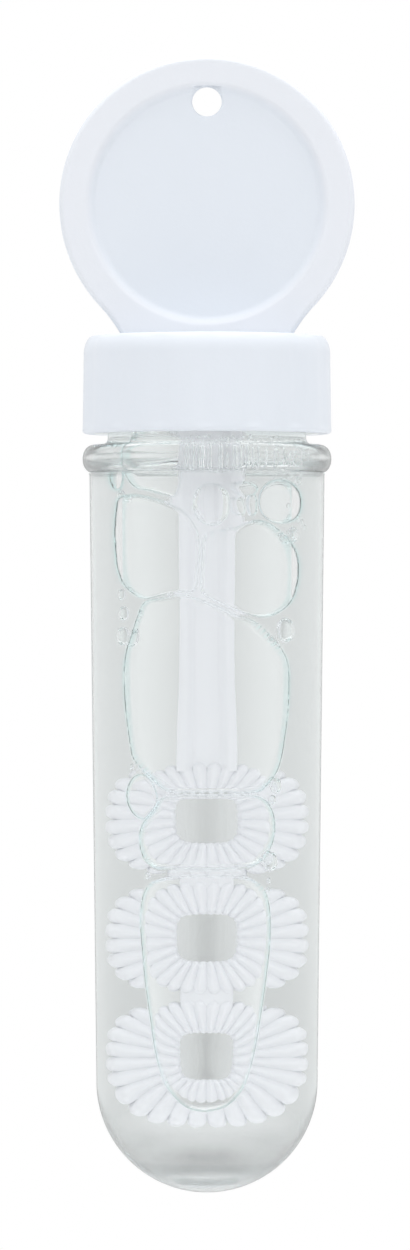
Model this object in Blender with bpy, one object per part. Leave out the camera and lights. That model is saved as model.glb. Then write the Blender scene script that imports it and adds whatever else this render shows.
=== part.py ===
"""Bubble tube: a clear round-bottomed tube of bubble solution, closed by a screw cap.

The cap carries a round hanging tag on top and, inside the tube, a flat wand with three ribbed
rings. Metres, +Z up along the tube. The origin is the centre of the tag's hanging hole, and the
tag's printed faces look along -Y and +Y.
"""
import math

import bmesh
import bpy
import numpy as np
from mathutils import Matrix

# Tag on top of the cap
tag_d = 0.0299
tag_thickness = 0.0024
tag_edge_round = 0.0005
tag_sink = 0.0016            # how far the tag's circle reaches below the cap's top
tag_foot_width = 0.0172      # where the foot meets the cap
tag_hollow_r = 0.0164        # radius of the hollow arc from the circle to the foot's corner
recess_d = 0.0245
recess_depth = 0.0005
recess_slope = 0.0008        # how far the recess's sloping edge runs inwards
hang_hole_d = 0.0030
hang_hole_edge = 0.00035     # from the hole's rim to the recess's edge

# Clearances
touch_gap = 0.0003           # between pieces that seat on each other
seal_side_gap = 0.0004       # between the seal ring and the cap's bore
ring_side_gap = 0.0005       # between the wand's rings and the tube's bore, at its lower end

# Tube
neck_bore_d = 0.0174
neck_wall = 0.00135
bead_gap = 0.0011            # bare neck between the cap and the support bead
bead_height = 0.0029
bead_proud = 0.0008
bead_power = 0.6             # 1 rounds the bead like half a circle, less makes it fuller
body_length = 0.0616         # from under the bead to the centre of the round bottom
body_wall_top = 0.0032
body_wall_bottom = 0.0029
bore_draft = 0.0004          # how much less radius the bore has at its lower end
rim_round = 0.0003

# Cap
thread_room = 0.0011         # between the plain neck and the cap's bore
skirt_wall = 0.0015
cap_height = 0.0099
cap_draft = 0.0001
cap_top_round = 0.0010
cap_hem_round = 0.0003
deck_thickness = 0.0015
flute_count = 16
flute_depth = 0.00012
socket_wall = 0.0012         # wall of the boss that grips the wand's stem
socket_length = 0.0040

# Seal ring between the cap's deck and the tube's rim
seal_thickness = 0.0008
seal_overhang = 0.0005       # how far it reaches inside the tube's bore
seal_corner = 0.0001

# Wand
wand_thickness = 0.0024
stem_width = 0.0056
stem_edge_width = 0.0011
stem_web_thickness = 0.0010
stem_overlap = 0.0009        # how far the stem runs into the top ring
ring_count = 3
ring_height = 0.0115
ring_space = 0.0005          # between neighbouring rings, crossed by the link
ring_power = 3.0             # 2 is an ellipse, more is squarer
hole_power = 4.0
rib_length_sides = 0.00445
rib_length_ends = 0.0034
rib_count = 28
ring_core_thickness = 0.0011
rib_scallop = 0.00045        # how deep the notches between the ribs' outer ends are
rib_inner_scallop = 0.00012
scallop_power = 1.5          # more makes the notches narrower
link_width = 0.0060
link_thickness = 0.0016
link_overlap = 0.0010        # how far a link runs into each ring
wand_tip_gap = 0.0052        # from the lowest ring to the tube's floor

# Bubble solution
solution_gap = 0.0003        # to the bore, and from the wand's sides
solution_top_gap = 0.0035    # from the underside of the bead up to the level in the tube
solution_slot_half = 0.0023  # half of the space that it leaves for the wand, front to back
pocket_depth_top = 0.0056    # air pocket along the front of the tube, at the top of the solution
pocket_end_rise = 0.0023     # where the pocket closes, below the centre of the round bottom

# How finely round things are cut
tube_segments = 56
solution_segments = 44
tag_segments = 49
recess_segments = 64
hole_segments = 32
flute_steps = 4
arc_steps = 6
rib_samples = 40             # places along the outline in one rib's width, to pick its points from
outline_samples = 4001

# Levels and radii that follow from the sizes above
tag_r = tag_d / 2
tag_centre_z = -(recess_d / 2 - hang_hole_edge - hang_hole_d / 2)
deck_top_z = tag_centre_z - (tag_r - tag_sink)
deck_under_z = deck_top_z - deck_thickness
cap_hem_z = deck_top_z - cap_height
bead_top_z = cap_hem_z - bead_gap
bead_under_z = bead_top_z - bead_height
seal_top_z = deck_under_z - touch_gap
rim_z = seal_top_z - seal_thickness - touch_gap
bottom_centre_z = bead_under_z - body_length

bore_r = neck_bore_d / 2
bore_r_low = bore_r - bore_draft
neck_r = bore_r + neck_wall
body_r_top = bore_r + body_wall_top
body_r_low = bore_r_low + body_wall_bottom
cap_bore_r = neck_r + thread_room
cap_r = cap_bore_r + skirt_wall
floor_z = bottom_centre_z - bore_r_low

ring_half_width = bore_r_low - ring_side_gap
ring_half_height = ring_height / 2
ring_pitch = ring_height + ring_space
tip_z = floor_z + wand_tip_gap
ring_centres_z = [tip_z + ring_half_height + i * ring_pitch for i in range(ring_count)]
stem_low_z = ring_centres_z[-1] + ring_half_height - stem_overlap
stem_top_z = deck_under_z - touch_gap
boss_r = math.hypot(stem_width / 2 + touch_gap, wand_thickness / 2 + touch_gap) + socket_wall


def clear_scene():
    for thing in list(bpy.data.objects):
        bpy.data.objects.remove(thing, do_unlink=True)


def material(name, colour, roughness, metallic=0.0, alpha=1.0):
    made = bpy.data.materials.new(name)
    made.use_nodes = True
    shader = made.node_tree.nodes["Principled BSDF"]
    shader.inputs["Base Color"].default_value = (*colour, 1.0)
    shader.inputs["Roughness"].default_value = roughness
    shader.inputs["Metallic"].default_value = metallic
    shader.inputs["Alpha"].default_value = alpha
    return made


def object_from(name, points, faces):
    """A new object from points and faces, with every face turned outwards."""
    mesh = bpy.data.meshes.new(name)
    mesh.from_pydata([tuple(p) for p in points], [], [tuple(f) for f in faces])
    work = bmesh.new()
    work.from_mesh(mesh)
    bmesh.ops.recalc_face_normals(work, faces=work.faces)
    work.to_mesh(mesh)
    work.free()
    made = bpy.data.objects.new(name, mesh)
    bpy.context.scene.collection.objects.link(made)
    return made


def arc(centre_r, centre_z, radius, start, end, steps=arc_steps):
    """Points (r, z) of a circular arc, from start to end degrees, anticlockwise from +r."""
    angles = np.radians(np.linspace(start, end, steps + 1))
    return [(centre_r + radius * math.cos(a), centre_z + radius * math.sin(a)) for a in angles]


def turned(name, profile, segments, wave=None):
    """A profile of (r, z) points turned round the Z axis.

    A profile that starts and ends on the axis closes there, and any other is a closed loop.
    wave(row, angles) gives what is added to the radius of each point of that row.
    """
    angles = np.arange(segments) * 2 * math.pi / segments
    loop = profile[0][0] > 0
    points = []
    rows = []
    for row, (r, z) in enumerate(profile):
        if r == 0:
            rows.append([len(points)] * segments)
            points.append((0.0, 0.0, z))
            continue
        radii = r + (wave(row, angles) if wave else np.zeros(segments))
        rows.append(list(range(len(points), len(points) + segments)))
        points.extend(zip(radii * np.cos(angles), radii * np.sin(angles), [z] * segments))
    faces = []
    pairs = list(zip(rows, rows[1:] + rows[:1])) if loop else list(zip(rows, rows[1:]))
    for lower, upper in pairs:
        for i in range(segments):
            j = (i + 1) % segments
            corners = [lower[i], lower[j], upper[j], upper[i]]
            faces.append(list(dict.fromkeys(corners)))
    return object_from(name, points, faces)


def baked(thing):
    """Turns an object's modifiers into its mesh."""
    bpy.context.view_layer.update()
    graph = bpy.context.evaluated_depsgraph_get()
    mesh = bpy.data.meshes.new_from_object(thing.evaluated_get(graph))
    thing.modifiers.clear()
    thing.data = mesh
    return thing


def combined(thing, tool, operation):
    """Joins tool to thing, or cuts it away, and removes the tool."""
    cut = thing.modifiers.new(operation.lower(), "BOOLEAN")
    cut.operation = operation
    cut.solver = "EXACT"
    cut.object = tool
    baked(thing)
    bpy.data.objects.remove(tool, do_unlink=True)
    return thing


def box(name, low, high):
    """A block between two corners."""
    points = [(x, y, z) for x in (low[0], high[0]) for y in (low[1], high[1]) for z in (low[2], high[2])]
    faces = [(0, 1, 3, 2), (4, 6, 7, 5), (0, 4, 5, 1), (2, 3, 7, 6), (0, 2, 6, 4), (1, 5, 7, 3)]
    return object_from(name, points, faces)


def prism(name, outline, depth, along="Y"):
    """A flat outline extruded by depth, centred: (x, z) points along Y, or (x, y) points along Z."""
    count = len(outline)
    points = []
    for side in (-depth / 2, depth / 2):
        points.extend((a, side, b) if along == "Y" else (a, b, side) for a, b in outline)
    faces = [list(range(count)), list(range(2 * count - 1, count - 1, -1))]
    faces += [(i, (i + 1) % count, count + (i + 1) % count, count + i) for i in range(count)]
    return object_from(name, points, faces)


def seated(thing, z, shade_angle=30):
    """Puts the object's origin on the tube's axis at height z, and shades its round faces smooth."""
    thing.data.transform(Matrix.Translation((0, 0, -z)))
    thing.location = (0, 0, z)
    thing.data.shade_smooth()
    thing.data.set_sharp_from_angle(angle=math.radians(shade_angle))
    return thing


def finished(thing, made_of):
    thing.data.materials.clear()
    thing.data.materials.append(made_of)
    return thing


def tag_outline():
    """The tag seen from the front: a circle that runs, by one hollow arc a side, into its foot.

    The hollow arc touches the circle from outside and ends at the foot's corner on the deck. So
    its middle is tag_r + tag_hollow_r from the circle's centre and tag_hollow_r from the corner,
    which gives a triangle with three known sides.
    """
    corner_x = tag_foot_width / 2
    corner_drop = tag_centre_z - deck_top_z
    reach = math.hypot(corner_x, corner_drop)
    apart = tag_r + tag_hollow_r
    opening = math.acos((apart ** 2 + reach ** 2 - tag_hollow_r ** 2) / (2 * apart * reach))
    touch = math.atan2(-corner_drop, corner_x) + opening
    middle_x = apart * math.cos(touch)
    middle_z = tag_centre_z + apart * math.sin(touch)
    end = math.atan2(deck_top_z - middle_z, corner_x - middle_x)
    hollow = np.linspace(touch + math.pi, end, arc_steps + 1)[1:]
    right = [(middle_x + tag_hollow_r * math.cos(a), middle_z + tag_hollow_r * math.sin(a)) for a in hollow]
    right.append((corner_x, deck_top_z - deck_thickness / 2))
    left = [(-x, z) for x, z in reversed(right)]
    sweep = np.linspace(math.pi - touch, touch, tag_segments)
    circle = [(tag_r * math.cos(a), tag_centre_z + tag_r * math.sin(a)) for a in sweep]
    return circle + right + left


def recess_cutter(side):
    """A shallow dish with a sloping edge, for the tag's front (-1) or back (+1)."""
    floor = tag_thickness / 2 - recess_depth
    top = tag_thickness / 2 + recess_depth
    profile = [
        (0.0, floor),
        (recess_d / 2 - recess_slope, floor),
        (recess_d / 2 + recess_slope, top),
        (0.0, top),
    ]
    dish = turned("recess_cutter", profile, recess_segments)
    dish.data.transform(Matrix.Rotation(math.radians(90), 4, "X"))
    if side < 0:
        turn = Matrix.Identity(4)
    else:
        turn = Matrix.Rotation(math.radians(180), 4, "Z")
    dish.data.transform(Matrix.Translation((0, 0, tag_centre_z)) @ turn)
    return dish


def hole_cutter():
    """The hanging hole's drill, a plain cylinder along Y through the origin."""
    r = hang_hole_d / 2
    profile = [(0, -tag_thickness), (r, -tag_thickness), (r, tag_thickness), (0, tag_thickness)]
    drill = turned("hole_cutter", profile, hole_segments)
    drill.data.transform(Matrix.Rotation(math.radians(90), 4, "X"))
    return drill


def make_tag():
    tag = prism("tag", tag_outline(), tag_thickness)
    rounding = tag.modifiers.new("edge_round", "BEVEL")
    rounding.width = tag_edge_round
    rounding.segments = 3
    rounding.limit_method = "ANGLE"
    rounding.angle_limit = math.radians(50)
    baked(tag)
    combined(tag, recess_cutter(-1), "DIFFERENCE")
    combined(tag, recess_cutter(1), "DIFFERENCE")
    return tag


def make_cap():
    """Deck, fluted skirt, inner boss with the wand's socket, and the tag, as one moulding."""
    top_r = cap_r - cap_draft
    outside = [(0.0, deck_top_z)]
    outside += arc(top_r - cap_top_round, deck_top_z - cap_top_round, cap_top_round, 90, 0, 4)
    fluted = [len(outside) - 2, len(outside) - 1, len(outside)]
    outside += arc(cap_r - cap_hem_round, cap_hem_z + cap_hem_round, cap_hem_round, 0, -90, 2)
    inside = [
        (cap_bore_r, cap_hem_z),
        (cap_bore_r, deck_under_z),
        (boss_r, deck_under_z),
        (boss_r, deck_under_z - socket_length),
        (0.0, deck_under_z - socket_length),
    ]

    def flutes(row, angles):
        """Broad hollows round the skirt: deepest at each flute's middle, nothing on the lands."""
        hollow = flute_depth * (0.5 - 0.5 * np.cos(flute_count * angles))
        return -hollow if row in fluted else np.zeros_like(hollow)

    cap = turned("cap", outside + inside, flute_count * flute_steps, flutes)
    half_x = stem_width / 2 + touch_gap
    half_y = wand_thickness / 2 + touch_gap
    low = deck_under_z - socket_length - touch_gap
    combined(cap, box("socket_cutter", (-half_x, -half_y, low), (half_x, half_y, deck_under_z)), "DIFFERENCE")
    combined(cap, make_tag(), "UNION")
    combined(cap, hole_cutter(), "DIFFERENCE")
    seated(cap, deck_top_z)
    return finished(cap, material("white_moulding", (0.80, 0.83, 0.86), 0.35))


def outline_points(half_width, half_height, power, count):
    """Points spaced evenly along the rounded oval |x/a|^p + |z/b|^p = 1, from +x anticlockwise."""
    angle = np.linspace(0, 2 * math.pi, outline_samples)
    c = np.cos(angle)
    s = np.sin(angle)
    x = half_width * np.sign(c) * np.abs(c) ** (2 / power)
    z = half_height * np.sign(s) * np.abs(s) ** (2 / power)
    run = np.concatenate([[0], np.cumsum(np.hypot(np.diff(x), np.diff(z)))])
    places = np.arange(count) / count * run[-1]
    return np.column_stack([np.interp(places, run, x), np.interp(places, run, z)])


def make_ring(centre_z):
    """One ring of the wand: ribs fan out from a rounded hole to a scalloped rim.

    Each rib has four lines of points along it, its valley, shoulder, crest and shoulder, and
    each line four points a side. The half thickness is the core's, plus the rib's own height
    where the line stands proud and the rib isn't rounding off at its ends.
    """
    places = np.array([0.0, 0.2, 0.5, 0.8])
    proud = np.array([0.0, 0.8, 1.0, 0.8])
    along = np.array([0.0, 0.1, 0.88, 1.0])
    full = np.array([0.45, 1.0, 1.0, 0.4])
    count = rib_count * rib_samples
    outer = outline_points(ring_half_width, ring_half_height, ring_power, count)
    inner = outline_points(ring_half_width - rib_length_sides, ring_half_height - rib_length_ends,
                           hole_power, count)
    steps = np.round(places * rib_samples)
    picks = (np.arange(rib_count)[:, None] * rib_samples + steps).astype(int).ravel()
    outer = outer[picks]
    inner = inner[picks]
    height = np.tile(proud, rib_count)
    span = outer - inner
    unit = span / np.linalg.norm(span, axis=1)[:, None]
    outer = outer - unit * (rib_scallop * (1 - height) ** scallop_power)[:, None]
    inner = inner + unit * (rib_inner_scallop * (1 - height))[:, None]
    core = ring_core_thickness / 2
    rib = wand_thickness / 2 - core
    rows = []
    for side in (-1, 1):
        order = range(4) if side < 0 else range(3, -1, -1)
        for k in order:
            flat = inner + (outer - inner) * along[k]
            y = side * (core + rib * height * full[k])
            rows.append(np.column_stack([flat[:, 0], y, flat[:, 1] + centre_z]))
    points = np.concatenate(rows)
    width = rib_count * len(places)
    faces = []
    for r in range(len(rows)):
        s = (r + 1) % len(rows)
        for i in range(width):
            j = (i + 1) % width
            faces.append((r * width + i, r * width + j, s * width + j, s * width + i))
    return object_from("ring", points, faces)


def make_stem():
    """The wand's stem: an H section, thin in the middle, with a full-thickness edge each side."""
    x1 = stem_width / 2
    x2 = x1 - stem_edge_width
    y1 = wand_thickness / 2
    y2 = stem_web_thickness / 2
    corner = [(x1, y1), (x2, y1), (x2, y2)]
    outline = corner + [(-x, y) for x, y in reversed(corner)]
    outline += [(-x, -y) for x, y in corner] + [(x, -y) for x, y in reversed(corner)]
    stem = prism("stem", outline, stem_top_z - stem_low_z, along="Z")
    stem.data.transform(Matrix.Translation((0, 0, (stem_top_z + stem_low_z) / 2)))
    return stem


def make_wand():
    """Stem, three ribbed rings and the links between them, as one moulding."""
    wand = make_stem()
    wand.name = "bubble_wand"
    combined(wand, make_ring(ring_centres_z[-1]), "UNION")
    for centre_z in reversed(ring_centres_z[:-1]):
        low = centre_z + ring_half_height - link_overlap
        high = low + ring_space + 2 * link_overlap
        link = box("link", (-link_width / 2, -link_thickness / 2, low),
                   (link_width / 2, link_thickness / 2, high))
        combined(wand, link, "UNION")
        combined(wand, make_ring(centre_z), "UNION")
    seated(wand, stem_top_z, 50)
    return finished(wand, material("wand_moulding", (0.86, 0.88, 0.91), 0.35))


def make_seal():
    """A flat washer with its corners just taken off."""
    outer = cap_bore_r - seal_side_gap
    inner = bore_r - seal_overhang
    low = seal_top_z - seal_thickness
    c = seal_corner
    profile = [
        (inner, low + c), (inner + c, low), (outer - c, low), (outer, low + c),
        (outer, seal_top_z - c), (outer - c, seal_top_z), (inner + c, seal_top_z), (inner, seal_top_z - c),
    ]
    seal = turned("seal_ring", profile, tube_segments)
    seated(seal, seal_top_z)
    return finished(seal, material("soft_liner", (0.75, 0.77, 0.78), 0.6))


def bore_radius(z):
    """The bore's radius at height z: full at the neck, less by the draft at the round bottom."""
    share = (rim_z - z) / (rim_z - bottom_centre_z)
    return bore_r - bore_draft * min(max(share, 0.0), 1.0)


def make_tube():
    """Round bottom, tapered body, support bead and plain neck, with a tapered bore."""
    bead_round = bead_height / 2
    outside = [(0.0, bottom_centre_z - body_r_low)]
    outside += arc(0.0, bottom_centre_z, body_r_low, -80, 0, 8)
    outside += [(body_r_top, bead_under_z)]
    swell = arc(0.0, 0.0, 1.0, -90, 90, 8)
    for across, up in swell[1:-1]:
        proud = body_r_top + bead_proud * across ** bead_power
        outside.append((proud, bead_top_z - bead_round + bead_round * up))
    outside += [(neck_r, bead_top_z)]
    outside += arc(neck_r - rim_round, rim_z - rim_round, rim_round, 0, 90, 2)
    inside = arc(bore_r + rim_round, rim_z - rim_round, rim_round, 90, 180, 2)
    inside += arc(0.0, bottom_centre_z, bore_r_low, 0, -80, 8)
    inside += [(0.0, floor_z)]
    tube = turned("tube", outside + inside, tube_segments)
    seated(tube, bead_top_z)
    return finished(tube, material("clear_plastic", (0.85, 0.90, 0.90), 0.05, alpha=0.35))


def make_solution():
    """What the tube holds: solution behind a sloping surface, with an air pocket along its front.

    The surface is a plane that leans from the level at the top to where the pocket closes on the
    round bottom. The space for the wand is left open, as the solution closes round the wand.
    """
    level_z = bead_under_z - solution_top_gap
    gap = solution_gap
    r_low = bore_r_low - gap
    profile = [(0.0, bottom_centre_z - r_low)]
    profile += arc(0.0, bottom_centre_z, r_low, -80, 0, 8)
    profile += [(bore_radius(level_z) - gap, level_z), (0.0, level_z)]
    solution = turned("bubble_solution", profile, solution_segments)

    end_z = bottom_centre_z - pocket_end_rise
    end_y = -math.sqrt(r_low ** 2 - pocket_end_rise ** 2)
    top_y = -(bore_radius(level_z) - pocket_depth_top)
    lean = (top_y - end_y) / (level_z - end_z)
    past = 0.004
    far = -2 * bore_r
    high_z = level_z + past
    low_z = end_z - past
    side = [
        (top_y + lean * past, high_z),
        (end_y - lean * past, low_z),
        (far, low_z),
        (far, high_z),
    ]
    air = prism("air_cutter", side, 4 * bore_r)
    air.data.transform(Matrix.Rotation(math.radians(90), 4, "Z"))
    combined(solution, air, "DIFFERENCE")

    wide = ring_half_width + gap
    above_rings = ring_centres_z[-1] + ring_half_height + gap
    half = solution_slot_half
    rings_slot = box("rings_cutter", (-wide, -half, tip_z - gap), (wide, half, above_rings))
    stem_half = stem_width / 2 + gap
    stem_slot = box("stem_cutter", (-stem_half, -half, above_rings - gap), (stem_half, half, high_z))
    combined(solution, rings_slot, "DIFFERENCE")
    combined(solution, stem_slot, "DIFFERENCE")
    seated(solution, level_z)
    return finished(solution, material("bubble_solution", (0.86, 0.90, 0.90), 0.03, alpha=0.5))


def main():
    clear_scene()
    make_cap()
    make_wand()
    seal = make_seal()
    tube = make_tube()
    solution = make_solution()
    axis = bpy.data.objects.new("tube_axis", None)
    axis.location = (0, 0, rim_z)
    bpy.context.scene.collection.objects.link(axis)
    for thing in (seal, tube, solution):
        place = thing.location.copy()
        thing.parent = axis
        thing.location = place - axis.location
    bpy.context.view_layer.update()


main()
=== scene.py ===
# %% [markdown]
# A tube of bubble solution, dressed for its picture
#
# The object is a clear, thick-walled tube with a round bottom. It's nearly full of bubble solution, closed
# by a white screw cap with a hanging tag, and holds a flat white wand with three ribbed rings. This lesson
# makes each piece as a surface worked out with numpy, and gives each one a finish made of nodes.
#
# What makes the picture is light bent twice: once by the round wall, and once by the solution's own
# surface. Where solution touches the wall the rings look wide, and where air lies between they look
# narrow. So the clear pieces are real closed solids, and Cycles does the bending.

import math

import bpy
import numpy as np
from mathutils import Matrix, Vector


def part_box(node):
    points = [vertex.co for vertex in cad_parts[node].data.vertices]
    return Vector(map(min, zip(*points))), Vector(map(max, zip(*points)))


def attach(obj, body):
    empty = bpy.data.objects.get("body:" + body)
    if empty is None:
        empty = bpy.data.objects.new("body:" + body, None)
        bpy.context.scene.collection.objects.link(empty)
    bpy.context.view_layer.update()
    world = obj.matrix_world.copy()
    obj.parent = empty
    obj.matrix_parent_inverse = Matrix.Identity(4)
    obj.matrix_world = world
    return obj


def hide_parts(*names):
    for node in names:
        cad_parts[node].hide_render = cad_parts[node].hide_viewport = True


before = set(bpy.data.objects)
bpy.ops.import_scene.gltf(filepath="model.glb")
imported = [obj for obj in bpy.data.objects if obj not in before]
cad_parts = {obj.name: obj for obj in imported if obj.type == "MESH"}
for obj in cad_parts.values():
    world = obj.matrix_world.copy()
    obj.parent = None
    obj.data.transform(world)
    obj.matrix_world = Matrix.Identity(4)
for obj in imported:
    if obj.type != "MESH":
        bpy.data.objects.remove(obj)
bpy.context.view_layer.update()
print("Nodes:", sorted(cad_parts))

# %% [markdown]
# Sizes
#
# The sums about the pieces are in millimetres, which suit a thing as long as a hand, and a mesh is turned
# into metres as it's made. Lamps and the camera are placed in metres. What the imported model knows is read
# from its boxes, so that the dressed pieces fit it. The rest are sizes that its source names.

# %% Sizes
MM = 0.001
CAP_HIGH = 9.9
DECK_THICK = 1.5
CAP_WALL = 1.5
BEAD_DROP = 1.1
BEAD_HIGH = 2.9
SCREW_ROOM = 1.1
NECK_WALL = 1.35
BORE_TAPER = 0.4
WALL_AT_BEAD = 3.2
WALL_AT_END = 2.9


def box_mm(node):
    """A node's lowest and highest corners, in millimetres."""
    low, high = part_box(node)
    return np.array(low) / MM, np.array(high) / MM


cap_low, cap_high = box_mm("cap")
wand_low, wand_high = box_mm("bubble_wand")
seal_low, seal_high = box_mm("seal_ring")
tube_low, tube_high = box_mm("tube")

tag_r = cap_high[0]
tag_centre_z = cap_high[2] - tag_r
cap_r = cap_high[1]
hem_z = cap_low[2]
deck_z = hem_z + CAP_HIGH
deck_under_z = deck_z - DECK_THICK
cap_bore_r = cap_r - CAP_WALL

rim_z = tube_high[2]
bead_r = tube_high[0] - 0.1
bead_top_z = hem_z - BEAD_DROP
bead_under_z = bead_top_z - BEAD_HIGH
neck_r = cap_bore_r - SCREW_ROOM
bore_r = neck_r - NECK_WALL
bore_r_low = bore_r - BORE_TAPER
body_r = bore_r + WALL_AT_BEAD
body_r_low = bore_r_low + WALL_AT_END
round_z = tube_low[2] + body_r_low
print(f"Tube: bore {2 * bore_r:.1f} mm, body {2 * body_r:.1f} mm, round end centred at z {round_z:.2f} mm")

# %% [markdown]
# From a grid to a mesh
#
# Nearly every piece here is a grid of points whose last column meets its first, as a sleeve's seam does.
# The first and last rows either meet too, which makes a ring, or each shrink to one point, a pole. Blender's
# own primitives could be stretched and cut instead, but a grid gives exact sizes and even faces. A helper
# numbers the corners of all its faces at once, and another turns the faces the right way by the sign of the
# volume that they enclose.

# %% Grids, shells and objects
def grid_faces(rows, columns):
    """The corner numbers of a grid's faces, as rows x columns x 4.

    Face (i, j) joins points (i, j), (i, j + 1), (i + 1, j + 1) and (i + 1, j). The last column's faces
    join the first column, and the last row's the first row.
    """
    number = np.arange(rows * columns).reshape(rows, columns)
    right = np.roll(number, -1, axis=1)
    return np.stack([number, right, np.roll(right, -1, axis=0), np.roll(number, -1, axis=0)], axis=-1)


def grid_shell(grid, first_pole=None, last_pole=None):
    """A closed shell, as (points, faces), from a grid of rows x columns x 3 numbers.

    Without poles the last row joins the first. A pole is joined to each pair of neighbours in its row.
    """
    rows, columns = grid.shape[:2]
    quads = grid_faces(rows, columns)
    points = grid.reshape(-1, 3)
    if first_pole is None:
        return points, [quads.reshape(-1, 4)]
    tip = np.full(columns, len(points))
    start = np.column_stack([quads[0, :, 1], quads[0, :, 0], tip])
    end = np.column_stack([quads[-1, :, 0], quads[-1, :, 1], tip + 1])
    points = np.vstack([points, first_pole, last_pole])
    return points, [quads[:-1].reshape(-1, 4), start, end]


def volume(points, faces):
    """The volume inside a shell: a sixth of the sum of a . (b x c) over its triangles."""
    total = 0.0
    for group in faces:
        for k in range(1, group.shape[1] - 1):
            a, b, c = points[group[:, 0]], points[group[:, k]], points[group[:, k + 1]]
            total += np.einsum("ij,ij->", a, np.cross(b, c))
    return total / 6


def facing(shell, hollow=False):
    """The shell with its faces outwards, or inwards if it's a hollow in something solid."""
    points, faces = shell
    if (volume(points, faces) < 0) != hollow:
        faces = [group[:, ::-1] for group in faces]
    return points, faces


def placed(name, data):
    """An object with this data, linked to the scene."""
    made = bpy.data.objects.new(name, data)
    bpy.context.scene.collection.objects.link(made)
    return made


def mesh_object(name, shells):
    """One smooth object, in metres, from shells in millimetres."""
    points = np.vstack([p for p, _ in shells])
    starts = np.cumsum([0] + [len(p) for p, _ in shells[:-1]])
    faces = []
    for start, (_, groups) in zip(starts, shells):
        for group in groups:
            faces += (group + start).tolist()
    mesh = bpy.data.meshes.new(name)
    mesh.from_pydata((points * MM).tolist(), [], faces)
    mesh.shade_smooth()
    return placed(name, mesh)


def finished(thing, material, body, node):
    """Gives a piece its material and body, and hides the CAD node that it stands for."""
    thing.data.materials.clear()
    thing.data.materials.append(material)
    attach(thing, body)
    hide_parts(node)
    thing.data.calc_loop_triangles()
    print(f"{thing.name}: {len(thing.data.vertices)} points, {len(thing.data.loop_triangles)} triangles")


# %% [markdown]
# Profiles
#
# A cap, a tube and a washer are all turned shapes: a profile of radius and height goes round the axis.
# Blender's Screw modifier would do that too, but here a wave may be added to the radius, for flutes and
# threads. The profile is a chain of short pieces, straight runs and arcs.

# %% Profiles and turning
def arc(centre_r, centre_z, radius, start, end, steps=8):
    """Points (r, z) of an arc from start to end degrees, anticlockwise from +r."""
    angle = np.radians(np.linspace(start, end, steps + 1))
    return np.column_stack([centre_r + radius * np.cos(angle), centre_z + radius * np.sin(angle)])


def run(r1, z1, r2, z2, steps=1):
    """Points of a straight run with its ends, closer together near them: shares (1 - cos(pi t)) / 2."""
    share = (0.5 - 0.5 * np.cos(np.linspace(0, np.pi, steps + 1)))[:, None]
    return (1 - share) * np.array([[r1, z1]]) + share * np.array([[r2, z2]])


def turned(profile, columns, wave=None):
    """A grid: point (i, j) is profile point i at angle j, its radius changed by wave(r, z, angle)."""
    angle = np.arange(columns) * 2 * np.pi / columns
    r, z = profile[:, :1], profile[:, 1:]
    radius = r + (wave(r, z, angle[None, :]) if wave else 0)
    height = np.broadcast_to(z, (len(profile), columns))
    radius = np.broadcast_to(radius, (len(profile), columns))
    return np.stack([radius * np.cos(angle), radius * np.sin(angle), height], axis=-1)


def smooth(x, low, high):
    """0 below low, 1 above high, and 3t^2 - 2t^3 between them."""
    t = np.clip((x - low) / (high - low), 0, 1)
    return t * t * (3 - 2 * t)


def thread(z, angle, start_z, turns, pitch=3.0, half_width=0.75):
    """How far a screw ridge stands up, 0 to 1, at height z and an angle.

    The ridge's middle climbs one pitch a turn, anticlockwise. The climb from its start to this place,
    in turns, must have the angle's own fraction, so the ridge's nearest pass is found by rounding.
    """
    around = angle / (2 * np.pi)
    climb = (z - start_z) / pitch
    passes = np.round(climb - around)
    off = np.abs(climb - around - passes) * pitch
    along = passes + around
    ends = smooth(along, 0.0, 0.08) * (1 - smooth(along, turns - 0.08, turns))
    return (1 - smooth(off, 0.2 * half_width, half_width)) * ends


# %% [markdown]
# Joining and cutting
#
# The cap and the wand are each one moulding, so their shells are joined by a Boolean, and what lies
# inside disappears. Shells that only overlap would look the same in a solid thing, but here the clear wall
# shows where they meet. The result is kept as a plain mesh, with no modifier left on it.

# %% Booleans
def combined(thing, other, operation):
    """Joins other to thing, or cuts it away, and removes other."""
    step = thing.modifiers.new(operation.lower(), "BOOLEAN")
    step.operation = operation
    step.solver = "EXACT"
    step.object = other
    bpy.context.view_layer.update()
    graph = bpy.context.evaluated_depsgraph_get()
    mesh = bpy.data.meshes.new_from_object(thing.evaluated_get(graph))
    thing.modifiers.clear()
    thing.data = mesh
    bpy.data.objects.remove(other, do_unlink=True)


def edged(thing, angle):
    """Smooth shading, but for edges sharper than an angle in degrees."""
    thing.data.shade_smooth()
    thing.data.set_sharp_from_angle(angle=math.radians(angle))


def block(low, high):
    """A plain block between two corners, as a shell."""
    x, y, z = [np.array([a, b]) for a, b in zip(low, high)]
    points = np.array([(a, b, c) for a in x for b in y for c in z], float)
    faces = np.array([(0, 1, 3, 2), (4, 6, 7, 5), (0, 4, 5, 1), (2, 3, 7, 6), (0, 2, 6, 4), (1, 5, 7, 3)])
    return facing((points, [faces]))


# %% [markdown]
# Materials as sums
#
# A finish could be wired by hand in the Shader Editor. In a script, nodes are easier to read as sums. A
# Wire wraps a node's output, and adding or multiplying it makes the Math node. Everything else comes from
# one method, which takes the node's type, its settings and what goes into its sockets.

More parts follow.
